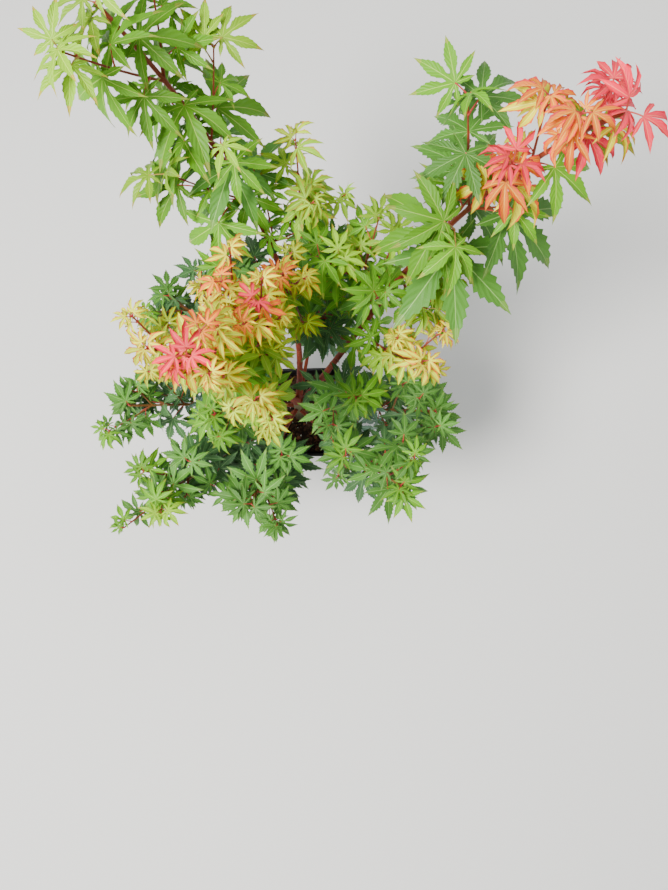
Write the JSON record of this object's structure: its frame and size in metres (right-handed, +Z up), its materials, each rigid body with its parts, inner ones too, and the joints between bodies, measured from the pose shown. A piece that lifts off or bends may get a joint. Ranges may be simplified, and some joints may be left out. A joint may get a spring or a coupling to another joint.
{
  "type": "potted japanese maple",
  "caption": "Young japanese maple in a square black nursery pot: leaning leaders and low boughs with lobed leaves, green below, yellow, orange and coral at the tips.",
  "frame": {"origin": "middle of the pot's flat underside", "axes": "+Z up, +X towards the leader that leans to the right, -Y towards the front"},
  "size_m": [0.3613, 0.3106, 0.4633],
  "materials": {
    "pot_plastic": "thin black moulded plastic, slightly dusty",
    "bark_mix": "dark potting mix with bark chips and white perlite",
    "label_plastic": "blank white plastic label",
    "old_bark": "olive brown young bark",
    "red_bark": "smooth red-brown bark",
    "leaf_coral": "thin young leaf, coral pink",
    "leaf_orange": "thin young leaf, orange",
    "leaf_yellow": "thin leaf, yellow green",
    "leaf_spring": "thin leaf, light green",
    "leaf_green": "leaf, mid green",
    "leaf_mature": "leaf, blue green"
  },
  "bodies": {
    "root": {"pot": "pot_plastic", "soil": "bark_mix", "label": "label_plastic", "trunk": "old_bark", "leader_middle": "red_bark", "leader_right": "red_bark", "leader_back": "red_bark", "bough_front_right": "red_bark", "bough_front": "red_bark", "bough_front_left": "red_bark", "bough_left": "red_bark", "bough_back_left": "red_bark", "bough_right": "red_bark", "bough_back_right": "red_bark", "foliage_middle_top": "leaf_coral", "foliage_right_top": "leaf_spring", "foliage_back_top": "leaf_spring", "foliage_middle_left": "leaf_orange", "foliage_middle_back": "leaf_orange", "foliage_middle_right": "leaf_yellow", "foliage_middle_front": "leaf_yellow", "foliage_middle_low": "leaf_green", "foliage_right_base": "leaf_green", "foliage_right_inner": "leaf_orange", "foliage_right_low": "leaf_green", "foliage_right_mid": "leaf_spring", "foliage_right_outer": "leaf_spring", "foliage_back_inner": "leaf_orange", "foliage_back_left": "leaf_green", "foliage_back_right": "leaf_spring", "foliage_low_front_right": "leaf_green", "foliage_low_front": "leaf_green", "foliage_low_front_left": "leaf_green", "foliage_low_left": "leaf_mature", "foliage_low_back_left": "leaf_mature", "foliage_low_right": "leaf_mature", "foliage_low_back_right": "leaf_mature"}
  },
  "joints": []
}
